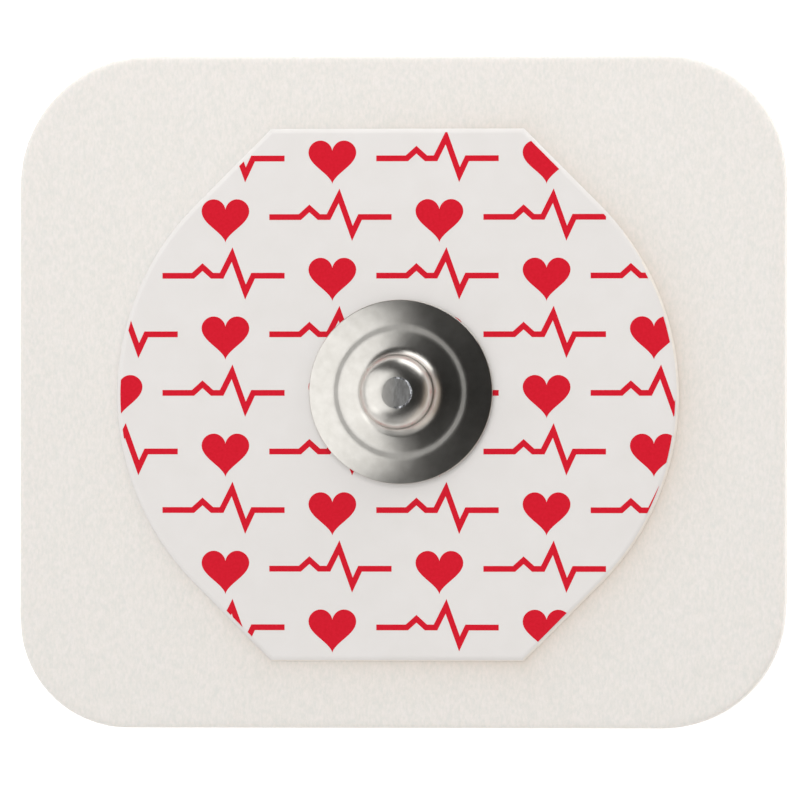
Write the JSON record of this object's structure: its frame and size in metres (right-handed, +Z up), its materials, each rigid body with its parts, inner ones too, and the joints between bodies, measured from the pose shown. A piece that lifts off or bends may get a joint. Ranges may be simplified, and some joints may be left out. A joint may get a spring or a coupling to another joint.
{
  "type": "ecg electrode",
  "caption": "Rectangular foam monitoring electrode with rounded corners, a printed film label, a gel pad in a round well and a metal snap stud for a lead wire.",
  "frame": {"origin": "on the adhesive face, at the middle of the foam, under the stud", "axes": "+X along the long side of the foam, +Y along its short side, +Z up through the stud"},
  "size_m": [0.04, 0.035, 0.0051],
  "materials": {
    "foam": "white closed-cell polyethylene foam with fine cells",
    "gel": "wet clear hydrogel",
    "silver_coat": "moulded plastic with a silver and silver chloride coat",
    "film": "white plastic film, satin",
    "print_ink": "red printing ink",
    "nickel": "satin nickel plate on drawn sheet"
  },
  "bodies": {
    "root": {"foam_backing": "foam", "gel_pad": "gel", "sensor_eyelet": "silver_coat", "printed_label": "film", "snap_stud": "nickel"}
  },
  "joints": []
}
